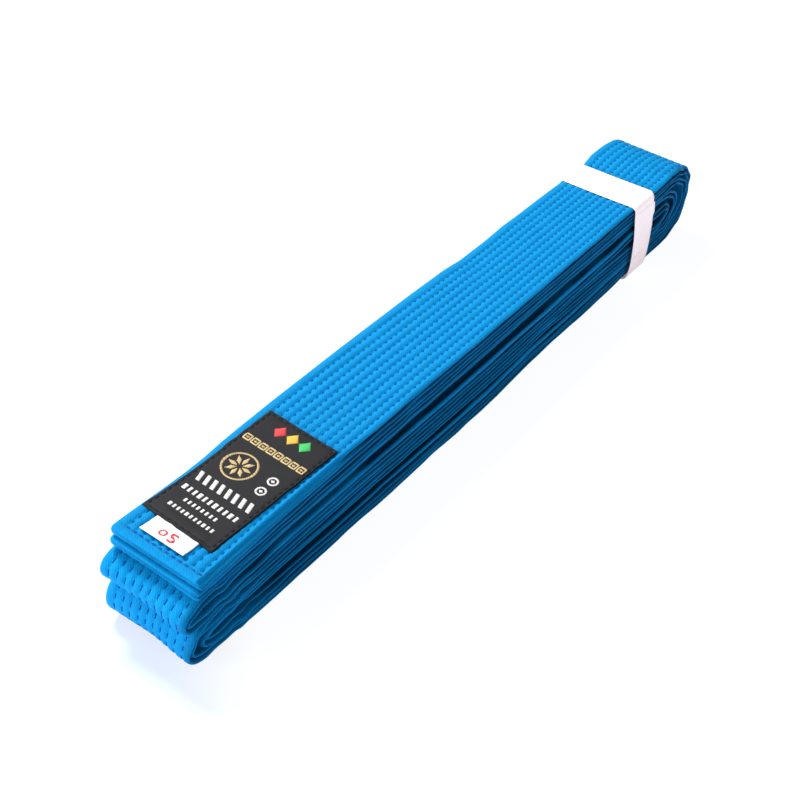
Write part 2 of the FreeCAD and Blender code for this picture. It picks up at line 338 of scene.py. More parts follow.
def make_piece(name, made, attribute, material, node=None, body=None, flat=False):
    """A mesh object from (points in mm, faces, one vector for each point), the last named attribute."""
    points, faces, values = made
    mesh = bpy.data.meshes.new(name)
    mesh.from_pydata((np.asarray(points, float) * MM).tolist(), [], faces)
    vectors = mesh.attributes.new(attribute, "FLOAT_VECTOR", "POINT")
    vectors.data.foreach_set("vector", np.asarray(values, np.float32).ravel())
    mesh.polygons.foreach_set("use_smooth", [not flat] * len(mesh.polygons))
    mesh.update()
    piece = bpy.data.objects.new(name, mesh)
    bpy.context.scene.collection.objects.link(piece)
    mesh.materials.append(material)
    if node:
        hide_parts(node)
    if body:
        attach(piece, body)
    return piece


class Paint:
    """A new node material, with short ways to add its nodes."""

    def __init__(self, name, **shader):
        self.material = bpy.data.materials.new(name)
        self.material.use_nodes = True
        self.tree = self.material.node_tree
        self.shader = self.tree.nodes["Principled BSDF"]
        for key, value in shader.items():
            self.shader.inputs[key.replace("_", " ")].default_value = value

    def put(self, socket, value):
        if isinstance(value, bpy.types.NodeSocket):
            self.tree.links.new(value, socket)
        elif value is not None:
            socket.default_value = value

    def node(self, kind, *inputs, output=0, **settings):
        """Adds a node, sets or links its inputs in order (None leaves one alone), gives its output."""
        made = self.tree.nodes.new("ShaderNode" + kind)
        for key, value in settings.items():
            setattr(made, key, value)
        for socket, value in zip([i for i in made.inputs if i.enabled], inputs):
            self.put(socket, value)
        return [o for o in made.outputs if o.enabled][output]

    def math(self, operation, *inputs):
        return self.node("Math", *inputs, operation=operation)

    def place(self, name):
        """The mesh's own attribute of that name, as a vector."""
        return self.node("Attribute", output=1, attribute_name=name)

    def noise(self, vector, scale, detail=2.0, roughness=0.5):
        made = self.tree.nodes.new("ShaderNodeTexNoise")
        values = {"Vector": vector, "Scale": scale, "Detail": detail, "Roughness": roughness}
        for key, value in values.items():
            self.put(made.inputs[key], value)
        return made.outputs["Fac"]

    def stripes(self, vector, direction, pitch, warp=None):
        """0 to 1 in even stripes square to the direction, a pitch apart."""
        turns = self.node("VectorMath", vector, tuple(2 * math.pi * d / pitch for d in direction),
                          operation="DOT_PRODUCT")
        if warp is not None:
            turns = self.math("ADD", turns, warp)
        return self.math("MULTIPLY_ADD", self.math("SINE", turns), 0.5, 0.5)

    def ramp(self, value, low, high, out_low, out_high, kind="LINEAR"):
        return self.node("MapRange", value, low, high, out_low, out_high, interpolation_type=kind)

    def mix_colour(self, share, first, second):
        made = self.tree.nodes.new("ShaderNodeMix")
        made.data_type = "RGBA"
        for key, value in {"Factor_Float": share, "A_Color": first, "B_Color": second}.items():
            self.put(next(i for i in made.inputs if i.identifier == key), value)
        return next(o for o in made.outputs if o.identifier == "Result_Color")

    def bump(self, height, depth, strength=1.0):
        """Bump of that depth in mm, added to what the shader's normal already has."""
        made = self.tree.nodes.new("ShaderNodeBump")
        normal = self.shader.inputs["Normal"]
        before = normal.links[0].from_socket if normal.links else None
        values = {"Strength": strength, "Distance": depth * MM, "Height": height, "Normal": before}
        for key, value in values.items():
            self.put(made.inputs[key], value)
        self.put(normal, made.outputs["Normal"])

    def surface(self, colour, rough):
        """Sets the base colour and the roughness, and gives the material."""
        self.put(self.shader.inputs["Base Color"], colour)
        self.put(self.shader.inputs["Roughness"], rough)
        return self.material


BLUE = (0.0014, 0.215, 0.50, 1)
BLUE_LIGHT = (0.005, 0.290, 0.60, 1)
BLUE_DEEP = (0.0006, 0.105, 0.31, 1)
# Painted shade: the dark blue towards which the cloth's colour is mixed in the grooves and between the
# layers.
PAINTED_SHADE_BLUE = (0.0006, 0.017, 0.055, 1)
# Painted shade: the stitches' blue is darker than the cloth's, for the shade of the hollows they sit in.
PAINTED_SHADE_THREAD_BLUE = (0.0006, 0.085, 0.34, 1)
SEAM_VIOLET = (0.014, 0.06, 0.36, 1)


def cover_material():
    """Satin-faced cotton twill. Its belt attribute is (s, distance round the belt, painted edge shade)."""
    paint = Paint("cover_satin", Sheen_Weight=0.15, Sheen_Roughness=0.45, Sheen_Tint=(0.02, 0.6, 1.0, 1),
                  Specular_IOR_Level=0.22, Specular_Tint=(0.05, 0.6, 1.0, 1))
    belt = paint.place("belt")
    warp = paint.math("MULTIPLY", paint.noise(belt, 0.7, 3.0), 6.0)
    twill = paint.stripes(belt, (0.62, 0.78, 0), 0.84, warp)
    weft = paint.stripes(belt, (1, 0, 0), 0.42, warp)
    yarns = paint.stripes(belt, (0, 1, 0), 0.42, warp)
    fleck = paint.noise(belt, 1.6, 3.0, 0.65)
    patch = paint.noise(belt, 0.12, 3.0, 0.6)
    colour = paint.mix_colour(paint.ramp(patch, 0.3, 0.7, 0.15, 0.5), BLUE, BLUE_LIGHT)
    colour = paint.mix_colour(paint.ramp(fleck, 0.35, 0.75, 0.45, 0.0), colour, BLUE_DEEP)
    colour = paint.mix_colour(paint.ramp(twill, 0, 1, 0.24, 0.0), colour, BLUE_DEEP)
    paint.bump(fleck, 0.22, 0.8)
    paint.bump(paint.math("ADD", yarns, weft), 0.03, 0.5)
    paint.bump(twill, 0.06, 0.8)
    # Painted shade: the colour goes towards a dark blue by the belt attribute's third value.
    return paint.surface(paint.mix_colour(paint.node("SeparateXYZ", belt, output=2), colour, PAINTED_SHADE_BLUE),
                         paint.ramp(paint.math("ADD", twill, fleck), 0.2, 1.6, 0.78, 0.6))


def thread_material(name, colour, lighter):
    """Twisted sewing thread. Its strand attribute is (mm along the thread, mm round it, 0)."""
    paint = Paint(name, Specular_IOR_Level=0.15, Specular_Tint=(0.1, 0.5, 1.0, 1))
    strand = paint.place("strand")
    twist = paint.stripes(strand, (0.7, 0.7, 0), 0.34)
    fleck = paint.noise(strand, 2.0)
    share = paint.math("MULTIPLY", twist, paint.ramp(fleck, 0.3, 0.7, 0.4, 1.0))
    paint.bump(twist, 0.05, 0.6)
    return paint.surface(paint.mix_colour(share, colour, lighter), paint.ramp(twist, 0, 1, 0.7, 0.5))


def interlining_material():
    """Plain cotton weave of the plies inside."""
    paint = Paint("interlining_cotton", Sheen_Weight=0.1, Specular_IOR_Level=0.15)
    belt = paint.place("belt")
    warp = paint.math("MULTIPLY", paint.noise(belt, 0.5), 3.0)
    one, other = (paint.stripes(belt, direction, 0.8, warp) for direction in ((1, 0, 0), (0, 1, 0)))
    weave = paint.math("MAXIMUM", one, other)
    fleck = paint.noise(belt, 1.5, 3.0)
    paint.bump(weave, 0.12, 0.7)
    return paint.surface(paint.mix_colour(fleck, (0.62, 0.57, 0.47, 1), (0.78, 0.75, 0.66, 1)),
                         paint.ramp(weave, 0, 1, 0.95, 0.8))


def label_material():
    """Black damask: fine weft floats across, a faint twill, a little lint."""
    paint = Paint("label_damask", Specular_IOR_Level=0.14)
    cloth = paint.place("cloth")
    warp = paint.math("MULTIPLY", paint.noise(cloth, 0.8), 1.6)
    floats = paint.stripes(cloth, (0, 1, 0), 0.30, warp)
    picks = paint.stripes(cloth, (1, 0, 0), 0.42, warp)
    weave = paint.math("MULTIPLY", floats, picks)
    lint = paint.ramp(paint.noise(cloth, 1.6, 4.0, 0.7), 0.62, 0.78, 0.0, 0.5)
    base = paint.mix_colour(weave, (0.004, 0.004, 0.006, 1), (0.014, 0.012, 0.014, 1))
    paint.bump(weave, 0.05, 0.6)
    return paint.surface(paint.mix_colour(lint, base, (0.04, 0.037, 0.045, 1)),
                         paint.ramp(weave, 0, 1, 0.62, 0.42))


def mark_material(name, colour, darker):
    """Raised weft of one colour in the label's pattern."""
    paint = Paint(name, Sheen_Weight=0.15, Specular_IOR_Level=0.45)
    cloth = paint.place("cloth")
    ply = paint.stripes(cloth, (0.8, 0.6, 0), 0.28)
    share = paint.math("MULTIPLY", paint.ramp(paint.noise(cloth, 1.8, 3.0), 0.3, 0.7, 0.0, 1.0), ply)
    paint.bump(ply, 0.03, 0.5)
    return paint.surface(paint.mix_colour(share, colour, darker), paint.ramp(ply, 0, 1, 0.55, 0.38))


def tag_material():
    """White satin ribbon."""
    paint = Paint("tag_ribbon", Sheen_Weight=0.1, Specular_IOR_Level=0.4)
    cloth = paint.place("cloth")
    across, along = paint.stripes(cloth, (1, 0, 0), 0.33), paint.stripes(cloth, (0, 1, 0), 0.27)
    weave = paint.math("MULTIPLY", across, along)
    share = paint.ramp(paint.noise(cloth, 0.25, 3.0), 0.3, 0.7, 0, 1)
    paint.bump(weave, 0.035, 0.5)
    return paint.surface(paint.mix_colour(share, (0.80, 0.79, 0.78, 1), (0.90, 0.89, 0.88, 1)),
                         paint.ramp(weave, 0, 1, 0.6, 0.42))


def paper_material():
    """Uncoated white paper: faint fibres, cloudy colour, small dents. Its glow is painted light: a warm glow
    that stands in for light coming through the paper.
    """
    paint = Paint("band_paper", Specular_IOR_Level=0.35, Emission_Color=(1.0, 0.74, 0.71, 1),
                  Emission_Strength=0.24)
    paper = paint.place("paper")
    fibre = paint.noise(paper, 2.4, 5.0, 0.7)
    share = paint.ramp(paint.noise(paper, 0.22, 3.0), 0.3, 0.7, 0, 1)
    paint.bump(paint.noise(paper, 0.12), 0.35, 0.35)
    paint.bump(fibre, 0.04, 0.5)
    return paint.surface(paint.mix_colour(share, (0.95, 0.77, 0.73, 1), (0.97, 0.83, 0.79, 1)),
                         paint.ramp(fibre, 0.3, 0.7, 0.62, 0.48))


# ---------------------------------------------------------------- the belt's cross-section

def half_section():
    """Groove to rounded edge on the upper half: (y, height, y when shut, give, row or None)."""
    points = [(y, h, shut, give, None) for (y, h, shut), give in zip(SHOULDER, SHOULDER_GIVE)]
    rows = list(enumerate(ROW_YS))[::-1]
    for number, y in rows:
        points += [(y + step, FACE, y + step, 0.0, number) for step in ROW_STEPS]
        if number:
            middle = (y + ROW_YS[number - 1]) / 2
            points.append((middle, FACE, middle, 0.0, None))
    return points + [(y, h, y, 0.0, None) for y, h in ROUND_EDGE]


HALF_SECTION = half_section()
KEEL = len(HALF_SECTION) - 1            # index of the rounded edge's middle point
RING = 2 * KEEL


def ring_of(half_indices, lower, upper):
    """Ring indices of chosen points of the half section, on the lower and on the upper half."""
    lower_ring = {i for i in half_indices if lower}
    upper_ring = {(RING - i) % RING for i in half_indices if upper}
    return lower_ring | upper_ring | {0, KEEL}


ALL_HALF = set(range(KEEL + 1))
PLAIN_HALF = {i for i, point in enumerate(HALF_SECTION) if point[4] is None}
PLAIN_HALF -= set(sorted(PLAIN_HALF)[len(SHOULDER)::2]) - set(range(KEEL - 5, KEEL + 1))
PLAIN = ring_of(PLAIN_HALF, True, True)
RING_KINDS = {
    "both": sorted(ring_of(ALL_HALF, True, True)),
    "outer": sorted(PLAIN | ring_of(ALL_HALF, False, True)),
    "inner": sorted(PLAIN | ring_of(ALL_HALF, True, False)),
    "plain": sorted(PLAIN),
}
STITCH_PHASE = np.cumsum(np.random.RandomState(5).uniform(-0.5, 0.9, len(ROW_YS)))


def row_y(number, s):
    """Where a row runs across the belt, a little off its mark here and there."""
    return ROW_YS[number] + wander(s, 38, 0.2, 100 + number)


def row_pull(number, s):
    """How hard the row pulls the cloth in: 1 under a stitch, less between two."""
    wave = np.cos(2 * math.pi * (s - STITCH_PHASE[number]) / STITCH) * (1 - 0.8 * fold_share(s))
    return 0.8 + 0.2 * wave + wander(s, 9, 0.12, 140 + number)


def face_height(s, y):
    """Height of the quilted cloth over the belt's middle, by place. s and y are arrays alike."""
    height = wander(s, 26, 0.05, 170) + wander(s + 3 * y, 7, 0.03, 171)
    started = smooth_step((np.minimum(s, line.length - s) - SEAM_INSET) / 1.5)
    phase = np.interp(y, ROW_YS[::-1], STITCH_PHASE[::-1])
    wave = np.cos(2 * math.pi * (s - phase) / STITCH)
    folded = fold_share(s)
    pucker = PUCKER * (1 - 0.8 * folded) * (1 + wander(s + 2 * y, 6, 0.8, 172))
    height = height - started * pucker * wave
    for number in range(len(ROW_YS)):
        aside = y - row_y(number, s)
        pull = row_pull(number, s) * started
        height = height - pull * ROW_DIP * (1 - 0.6 * folded) * np.exp(-((aside / ROW_DIP_WIDTH) ** 2))
        valley = VALLEY * (1 + 0.15 * folded) * (0.3 + 0.7 * pull)
        height = height - valley * np.exp(-((aside / VALLEY_WIDTH) ** 2))
    for end in (SEAM_INSET, line.length - SEAM_INSET):
        across = np.clip((EDGE_Y - 1.2 - np.abs(y)) / 1.0, 0, 1)
        height = height - ROW_DIP * across * np.exp(-(((s - end) / ROW_DIP_WIDTH) ** 2))
    return height


def left_is_up(layer):
    return LAYER_ORDER.index(layer) % 2 == 0


def rim_values(s):
    """Setback of the left and the right rim and the groove's opening at each s."""
    by_side = {
        layer: [(place, *((a, b) if left_is_up(layer) else (b, a)), opening) for place, a, b, opening in rows]
        for layer, rows in RIMS.items()
    }
    places, *columns = line.knots(by_side).T
    return [np.interp(s, places, column) for column in columns]


def swollen(s, side):
    """How far the left (side 1) or the right (-1) shoulder swells at each s."""
    size = 0 * s
    for layer, rows in SWOLLEN.items():
        if left_is_up(layer) == (side > 0):
            size = size + np.interp(s, *line.knots({layer: rows}).T, left=0, right=0)
    return size


def fold_share(s):
    """1 in a fold of the belt and 0 on its straight runs."""
    share = np.zeros_like(s)
    runs = [line.runs[layer] for layer in LAYER_ORDER]
    for (_, start), (end, _) in zip(runs, runs[1:]):
        middle, reach = (start + end) / 2, (end - start) / 2
        share = np.maximum(share, smooth_step(2.0 * (1 - np.abs(s - middle) / reach)))
    return share


def between_layers(s, side):
    """1 where the left (side 1) or the right (-1) face lies against another layer of the bundle."""
    runs = line.runs
    start, end = runs[LAYER_ORDER[0]][1] + 25, runs[LAYER_ORDER[-1]][0] - 25
    inside = smooth_step((s - start) / 20) * smooth_step((end - s) / 20)
    if side < 0:
        return inside
    inside = inside * smooth_step((s - runs[5][0] - 4) / 8)
    front = (runs[4][1] + runs[3][0]) / 2
    return inside * smooth_step((np.abs(s - front) - (runs[3][0] - runs[4][1]) / 2 - 1) / 8)


def end_taper(s):
    """Share of its thickness that the belt keeps as its sewn ends round off."""
    inside = np.clip(np.minimum(s, line.length - s) / END_ROUND, 0, 1)
    return 0.5 + 0.5 * np.sqrt(1 - (1 - inside) ** 2)


def squeeze(s, h):
    """The share of its height that a place keeps on the inner side of a tight fold."""
    turn = np.interp(s, line.s, line.turn)
    room = FOLD_ROOM / np.maximum(np.abs(turn), 1e-3)
    return np.where(h * turn > 0, np.minimum(1, room / HALF), 1)


def sway(s):
    """How far the whole belt wanders sideways at each s."""
    return wander(s, 64, 0.14, 60)


def edge_shade(s, y, h, opening, folded):
    """How far painted shade darkens the colour, by place on the plain section: in the groove and between
    layers.
    """
    shade = np.interp(np.abs(h), *zip(*EDGE_SHADE)) * (y < -16.5)
    on_face = np.abs(h) > 0.9
    raised = np.minimum(1, 1.3 * np.where(h > 0, swollen(s, 1), swollen(s, -1)) * on_face)
    inside_gap = (1 - smooth_step((-18.2 - y) / 0.9)) * (y < -15.5)
    shade = shade * (1 - raised) + raised * inside_gap
    deep = (1 - smooth_step((-18.5 - y) / 0.9)) * smooth_step((-12 - y) / 3) * on_face
    covered = np.where(h > 0, between_layers(s, 1), between_layers(s, -1))
    shade = np.maximum(shade, deep * covered)
    # Less painted shade on the top layer's upper face and on the folds at the near end.
    in_sight = (h > 0.9) * smooth_step((line.runs[1][1] + 20 - s) / 20)
    lit = 0.4 * folded * (line.at(s)[0] < 0)
    return shade * (1 - in_sight) * (1 - lit) * np.minimum(1, 0.15 + opening)


def sections(s):
    """(y, h) of the whole ring at each s, and the distance round it and the painted shade of its points."""
    half = np.array([point[:4] for point in HALF_SECTION])
    s = s[:, None]
    left_back, right_back, opening = rim_values(s)
    folded = fold_share(s)
    loose = 1 + 1.6 * folded
    closed = 1 - np.minimum(1, 4 * opening)
    opening = np.clip(opening * (1 + wander(s, 14, 0.35, 11)) + wander(s, 47, 0.35, 12) * (1 - closed), 0, 1)
    middle_back = (left_back + right_back) / 2
    rings = []
    for side, back, seed in ((-1, right_back, 20), (1, left_back, 30)):
        rolled = 1 - closed * (1 - np.minimum(1, half[:, 1] / 1.08))
        back = middle_back + (back - middle_back) * rolled
        loosened = 0.12 + wander(s, 8, 0.13, seed) + wander(s, 31, 0.2, seed + 1)
        back = back + loose * loosened * (1 - 0.8 * closed)
        y = half[:, 0] * opening + half[:, 2] * (1 - opening) + half[:, 3] * back
        for number in range(len(ROW_YS)):
            mine = [i for i, point in enumerate(HALF_SECTION) if point[4] == number]
            y[:, mine] += row_y(number, s) - ROW_YS[number]
        on_face = smooth_step((EDGE_Y - 1.5 - np.abs(half[:, 0])) / 1.5)
        height = half[:, 1] + face_height(s + 0 * y, y) * on_face
        swell = swollen(s, side) * np.minimum(1, half[:, 1] / FACE) * smooth_step((-15.4 - half[:, 0]) / 3)
        rim = np.where(np.arange(len(half)) < len(SHOULDER) - 1, half[:, 3], 0.0)
        pinch = rim * wander(s, 11, 0.16, seed + 2) * loose * 0.5
        rings.append((y, (height + swell) * (1 + pinch) * side))
    y, h = (np.hstack([low[:, :KEEL], high[:, :0:-1]]) for low, high in zip(*rings))
    h = h + wander(s, 17, 0.3, 41) * np.exp(-((h / 0.6) ** 2)) * (y < -EDGE_Y + 3)
    h = h * squeeze(s, h) * end_taper(s)
    y = y * (1 - 0.06 * (1 - end_taper(s))) + sway(s)
    flat_y = np.concatenate([half[:KEEL, 0], half[:0:-1, 0]])
    flat_h = np.concatenate([-half[:KEEL, 1], half[:0:-1, 1]])
    step = np.hypot(np.diff(flat_y), np.diff(flat_h))
    around = np.concatenate([[0], np.cumsum(step)])
    return y, h, around, edge_shade(s, flat_y, flat_h, opening, folded)


def stations(first, last, step):
    return np.linspace(first, last, max(2, int(round((last - first) / step)) + 1))


def belt_mesh(parts):
    """Points, faces and belt attribute of the cover along parts: (s values, ring kind), in order."""
    s = np.concatenate([values if k == 0 else values[1:] for k, (values, _) in enumerate(parts)])
    kinds = [kind for k, (values, kind) in enumerate(parts) for _ in values[bool(k):]]
    y, h, around, shade = sections(s)
    places = line.place(s[:, None], y, h)
    index = np.full(places.shape[:2], -1)
    count = 0
    for row, kind in enumerate(kinds):
        ring = RING_KINDS[kind]
        index[row, ring] = np.arange(count, count + len(ring))
        count += len(ring)
    used = index >= 0
    belt = np.stack([s[:, None] + 0 * y, around[None] + 0 * y, shade], -1)
    faces = []
    for row in range(len(s) - 1):
        faces += strip(index[row], index[row + 1], kinds[row] == kinds[row + 1])
    return places[used], faces, belt[used], index


def strip(here, there, alike):
    """Faces between two neighbouring rings. Rings of two kinds meet in faces of more corners."""
    shared = np.flatnonzero((here >= 0) & (there >= 0))
    after = np.roll(shared, -1)
    if alike:
        return np.stack([here[shared], here[after], there[after], there[shared]], 1).tolist()
    made = []
    for a, b in zip(shared.tolist(), after.tolist()):
        between = range(a, (b or RING) + 1)
        near_side, far_side = ([int(ring[i % RING]) for i in between if ring[i % RING] >= 0]
                               for ring in (here, there))
        made.append(near_side + far_side[::-1])
    return made


def end_cap(lower, upper, facing_back):
    """Faces that close an end, between the points of its lower and of its upper side."""
    made = []
    for corners in zip(lower, lower[1:], upper[1:], upper):
        corners = list(dict.fromkeys(int(c) for c in corners))
        made.append(corners[::-1] if facing_back else corners)
    return made


FINE, COARSE = STITCH / 5, 3.8
FOLD_STEP = {"outer": 0.85, "plain": 1.4}
END_STEP = 0.3


def fold_parts():
    """Stations and ring kind along the folded length, from the cut to the second end."""
    looks = {8: ("outer", STITCH / 2), 2: ("inner", STITCH / 2.5)}
    outer_folds = {(1, 8), (8, 5), (4, 3)}
    parts = [(stations(CUT, CUT + 2, FINE), "both"), (stations(CUT + 2, line.runs[1][1], FINE), "outer")]
    for pair in zip(LAYER_ORDER, LAYER_ORDER[1:]):
        kind = "outer" if pair in outer_folds else "plain"
        parts.append((stations(line.runs[pair[0]][1], line.runs[pair[1]][0], FOLD_STEP[kind]), kind))
        kind, step = looks.get(pair[1], ("plain", COARSE))
        start, end = line.runs[pair[1]]
        end -= 6 if pair[1] == LAYER_ORDER[-1] else 0
        parts.append((stations(start, end, step), kind))
    return parts + [(stations(end, line.runs[LAYER_ORDER[-1]][1], END_STEP), "both")]


def free_end_parts():
    """The same along the top layer, from the label end to the cut."""
    held = line.s_at(1, LIFT_X)
    return [(stations(0, 6, END_STEP), "both"), (stations(6, held, FINE), "both"),
            (stations(held, CUT - 2, FINE), "outer"), (stations(CUT - 2, CUT, FINE), "both")]


def cover(name, node, parts, material, body=None):
    places, faces, belt, index = belt_mesh(parts)
    for ring, facing_back in ((index[0], True), (index[-1], False)):
        faces += end_cap(ring[:KEEL + 1], ring[-np.arange(KEEL + 1)], facing_back)
    return make_piece(name, (places, faces, belt), "belt", material, node, body)


def lift(piece):
    """Bakes the piece's place into its mesh."""
    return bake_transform(piece)


# ---------------------------------------------------------------- threads, seams and plies

THREAD_SIDES = 5
THREAD_PROFILE = [(0.0, 0.55, 1.0), (0.2, 1.0, 0.0), (0.8, 1.0, 0.0), (1.0, 0.55, 1.0)]


def thread_bits(starts, ends, radius, height, sink, place):
    """One short thread from each start to each end, its middle at that height over a surface and its
    ends sunk into it. Starts and ends are pairs in the surface's own mm, which place() turns into
    points. Gives points, faces and the strand attribute."""
    starts, ends = np.asarray(starts, float), np.asarray(ends, float)
    along = ends - starts
    length = np.linalg.norm(along, axis=1)
    side = np.stack([-along[:, 1], along[:, 0]], 1) / length[:, None]
    turns = np.arange(THREAD_SIDES) * 2 * math.pi / THREAD_SIDES + math.pi / 2
    share, girth, sunk = (np.array(column)[None, :, None] for column in zip(*THREAD_PROFILE))
    across = radius * girth * np.cos(turns)
    rise = height - sink * sunk + radius * 0.85 * girth * np.sin(turns)
    share = share + 0 * across
    first, second = (
        starts[:, k, None, None] + along[:, k, None, None] * share + side[:, k, None, None] * across
        for k in (0, 1)
    )
    places = place(first, second, rise + 0 * first).reshape(-1, 3)
    strand = np.stack([share * length[:, None, None], turns * radius + 0 * first, 0 * first], -1)
    here = np.arange(len(places)).reshape(first.shape)
    after = np.roll(here, -1, axis=2)
    faces = np.stack([here[:, :-1], after[:, :-1], after[:, 1:], here[:, 1:]], -1).reshape(-1, 4).tolist()
    return places, faces + here[:, 0, ::-1].tolist() + here[:, -1].tolist(), strand.reshape(-1, 3)


def gather(bits):
    """Joins several (points, faces, attribute) into one."""
    faces, count = [], 0
    for places, some_faces, _ in bits:
        faces += [[i + count for i in face] for face in some_faces]
        count += len(places)
    return np.vstack([bit[0] for bit in bits]), faces, np.vstack([bit[2] for bit in bits])


def row_stitches(number, first, last, side):
    """The stitches of a row that show on one face between two places along the belt."""
    count = int((last - first) / STITCH) + 1
    start = math.ceil((first - STITCH_PHASE[number]) / STITCH)
    middle = STITCH_PHASE[number] + (start + np.arange(count)) * STITCH
    shift = np.random.RandomState(200 + number).uniform(-0.12, 0.12, count)
    middle = (middle + shift)[middle < last]
    y = row_y(number, middle)
    reach = STITCH * STITCH_SHOWN / 2
    height = FACE + face_height(middle, y) + THREAD_RADIUS * THREAD_STANDS
    starts = np.stack([middle - reach, y - STITCH_SLANT], 1)
    ends = np.stack([middle + reach, y + STITCH_SLANT], 1)
    return belt_threads(starts, ends, THREAD_RADIUS, height[:, None, None], THREAD_SINK, side)


def turned_inside_out(bits):
    """The same with its faces turned round, for a place() that mirrors what it is given."""
    places, faces, attribute = bits
    return places, [face[::-1] for face in faces], attribute


def belt_threads(starts, ends, radius, height, sink, side):
    """Threads over the belt's left face (side 1) or right face (-1)."""
    bits = thread_bits(starts, ends, radius, height, sink,
                       lambda s, y, rise: line.place(s, y + sway(s), side * rise))
    return bits if side > 0 else turned_inside_out(bits)


def thread_rows(material):
    """The ten rows along the folded length, and the ten along the top layer."""
    spans = [(CUT, line.runs[5][0] + 6, 1), (line.runs[4][1] - 12, line.runs[3][0] + 8, 1),
             (line.runs[2][0] - 10, line.length - SEAM_INSET - 1.2, -1)]
    for number in range(len(ROW_YS)):
        bits = gather([row_stitches(number, *span) for span in spans])
        make_piece(f"thread_row_{number + 1:02d}", bits, "strand", material,
                   f"stitch_row_{number + 1:02d}", "bundle")
    bits = gather([row_stitches(number, SEAM_INSET + 1.2, last, side) for number in range(len(ROW_YS))
                   for side, last in ((1, CUT), (-1, line.s_at(1, LIFT_X)))])
    lift(make_piece("thread_rows_free_end", bits, "strand", material,
                    "stitch_rows_free_end"))


SEAM_STITCH = 2.9
SEAM_SHOWN = 0.74
SEAM_HALF = 17.9
SEAM_LEGS = 2                  # stitches by which the cross seam goes on along each side


def cross_seam(name, node, material, at_label_end, body=None):
    """The seam that closes an end, across the belt and a little way back along both sides."""
    inward = 1 if at_label_end else -1
    s = (0 if at_label_end else line.length) + inward * SEAM_INSET
    ys = np.arange(-SEAM_HALF, SEAM_HALF - SEAM_STITCH / 2, SEAM_STITCH)
    starts = [(s, y + 0.2) for y in ys]
    ends = [(s + 0.15 * math.sin(3 * y), y + 0.2 + SEAM_STITCH * SEAM_SHOWN) for y in ys]
    for y in (-SEAM_HALF, SEAM_HALF):
        for k in range(SEAM_LEGS):
            near = s + inward * (0.3 + k * SEAM_STITCH)
            starts.append((near, y))
            ends.append((near + inward * SEAM_STITCH * SEAM_SHOWN, y))
    height = FACE - ROW_DIP + 0.1
    bits = gather([belt_threads(starts, ends, THREAD_RADIUS * 1.1, height, 0.4, side) for side in (1, -1)])
    return make_piece(name, bits, "strand", material, node, body)


PLIES = 4
PLY_CORE = 1.05                # half the height of the stack of plies
PLY_GAP = 0.06
PLY_LOW_Y, PLY_HIGH_Y = -14.4, 19.2
PLY_END_GAP = 1.6


def ply(number, first, last, name, node, material, body=None):
    """One strip of interlining between two places along the belt."""
    thickness = (2 * PLY_CORE - (PLIES - 1) * PLY_GAP) / PLIES
    low = -PLY_CORE + number * (thickness + PLY_GAP)
    y = np.linspace(PLY_LOW_Y, PLY_HIGH_Y, 6)
    ring_y = np.concatenate([y, y[::-1]])
    ring_h = np.repeat([low, low + thickness], len(y))
    s = [first]
    while s[-1] < last:
        s.append(s[-1] + (0.9 if fold_share(np.array([s[-1]]))[0] > 0.3 else 3.5))
    s = np.array(s[:-1] + [last])[:, None]
    places = line.place(s, ring_y + 0 * s, ring_h * squeeze(s, ring_h))
    index = np.arange(places[..., 0].size).reshape(-1, len(ring_y))
    faces = [face for here, there in zip(index, index[1:]) for face in strip(here, there, True)]
    for ring, facing_back in ((index[0], True), (index[-1], False)):
        faces += end_cap(ring[:len(y)], ring[::-1][:len(y)], facing_back)
    belt = np.stack(np.broadcast_arrays(s, ring_y, 0), -1).reshape(-1, 3)
    return make_piece(name, (places.reshape(-1, 3), faces, belt), "belt", material,
                      node, body, flat=True)


def interlining(material):
    for number in range(PLIES):
        tag = number + 1
        ply(number, CUT, line.length - PLY_END_GAP,
            f"interlining_{tag}_folded", f"core_ply_{tag}_folded", material, "bundle")
        lift(ply(number, PLY_END_GAP, CUT,
                 f"interlining_{tag}_free_end", f"core_ply_{tag}_free_end", material))


# ---------------------------------------------------------------- the label and the size tag

LABEL_TURN = math.radians(-2.2)
LABEL_THICKNESS = label_high.z - label_low.z
LABEL_BASE = 0.1               # over the cloth's pillows
LABEL_SEAM = 1.2               # from the label's edge
LABEL_STITCH = 3.0
TAG_TUCK = 4.1                 # how far the size tag goes under the label
TAG_THICKNESS = 0.28


def label_size():
    """The label's length and width, from the box round the turned label."""
    box_x, box_y = label_high.x - label_low.x, label_high.y - label_low.y
    cos, sin = math.cos(LABEL_TURN), abs(math.sin(LABEL_TURN))
    share = cos * cos - sin * sin
    return (box_x * cos - box_y * sin) / share, (box_y * cos - box_x * sin) / share


LABEL_LENGTH, LABEL_WIDTH = label_size()
LABEL_X = (label_low.x + label_high.x) / 2
LABEL_Y = (label_low.y + label_high.y) / 2
TAG_Y = (tag_low.y + tag_high.y) / 2
TAG_HALF = (tag_high.y - tag_low.y) / 2
TAG_ROOT = tag_high.x + TAG_TUCK


def cloth_top(x):
    """Height of the top layer's pillows at x."""
    return layer_height(1, x) + FACE


